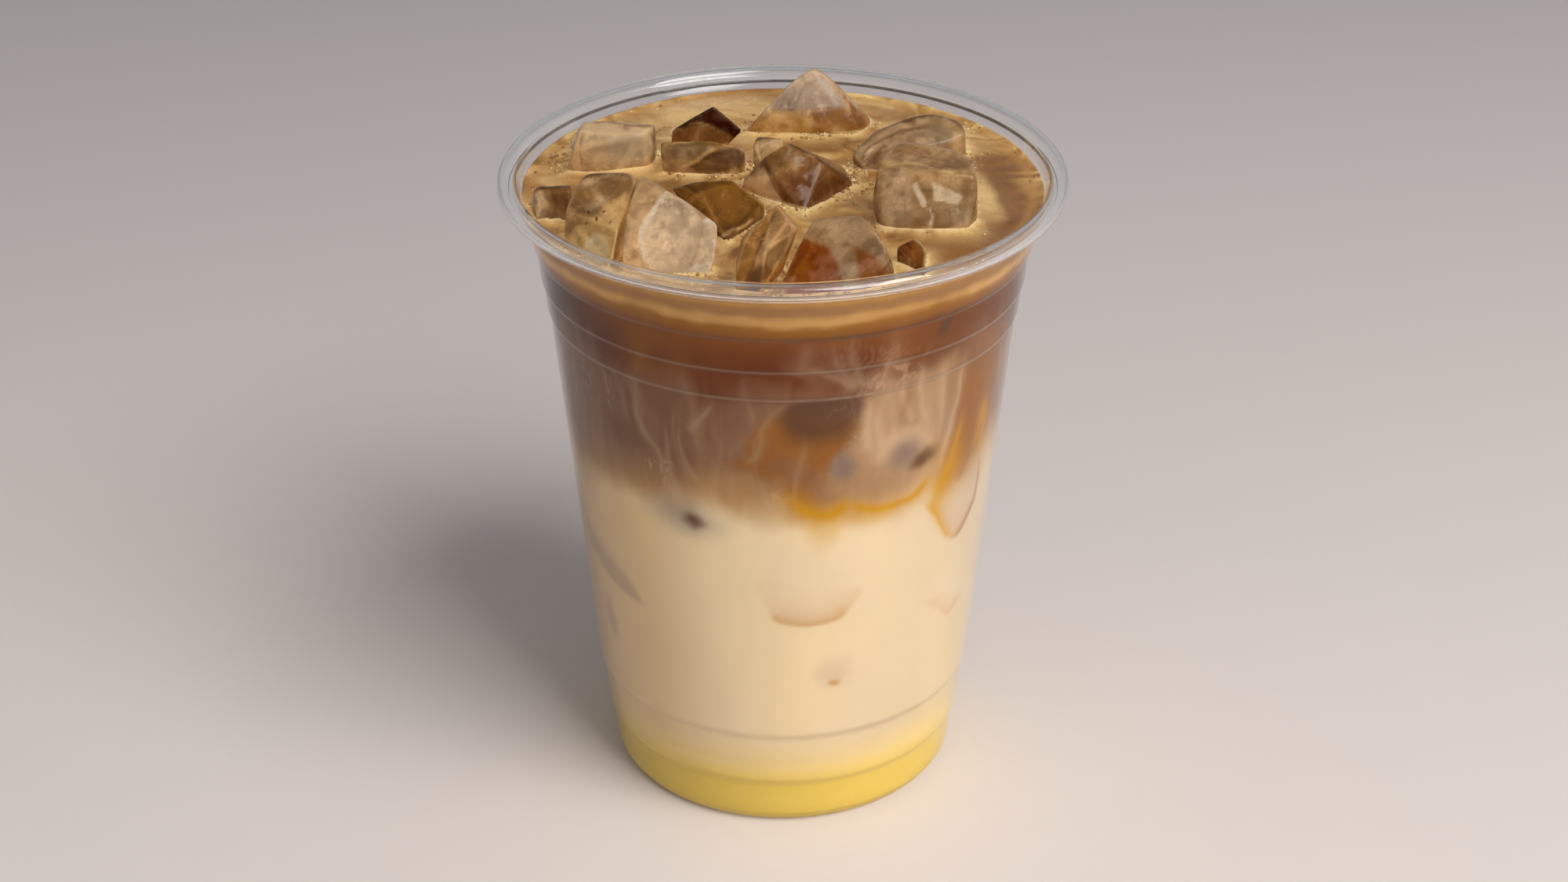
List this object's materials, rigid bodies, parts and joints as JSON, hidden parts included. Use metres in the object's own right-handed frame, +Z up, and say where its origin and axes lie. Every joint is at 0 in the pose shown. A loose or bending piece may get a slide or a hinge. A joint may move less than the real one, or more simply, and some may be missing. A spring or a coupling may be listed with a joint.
{
  "type": "iced cafe con leche in a clear tumbler",
  "caption": "Clear plastic tumbler with a rolled lip, filled with sweet milk, milk, coffee and a golden crema in layers, with uneven blocks of ice standing out of the top.",
  "frame": {"origin": "centre of the standing ring, on the surface that the tumbler stands on", "axes": "+Z up the tumbler's axis, -Y towards the viewer of the picture, +X to the viewer's right"},
  "size_m": [0.098, 0.098, 0.1241],
  "materials": {
    "cup": "clear thin PET plastic, smooth and glossy",
    "sweet_milk": "thick yellow sweetened milk, smooth, slightly translucent",
    "milk": "cream milk, soft and slightly translucent",
    "coffee": "brown coffee with milk swirling through it",
    "crema": "golden coffee foam with small bubbles",
    "ice": "clear ice, wet, with frosted and bubbly faces"
  },
  "bodies": {
    "root": {"cup": "cup", "sweet_milk": "sweet_milk", "milk": "milk", "coffee": "coffee", "crema": "crema", "ice_back_left": "ice", "ice_back_peak": "ice", "ice_back_slab": "ice", "ice_tall_peak": "ice", "ice_back_right": "ice", "ice_big_right": "ice", "ice_centre": "ice", "ice_centre_small": "ice", "ice_centre_left": "ice", "ice_left_foamy": "ice", "ice_front_left": "ice", "ice_far_left": "ice", "ice_front_peak": "ice", "ice_front_big": "ice", "ice_small_right": "ice"}
  },
  "joints": []
}
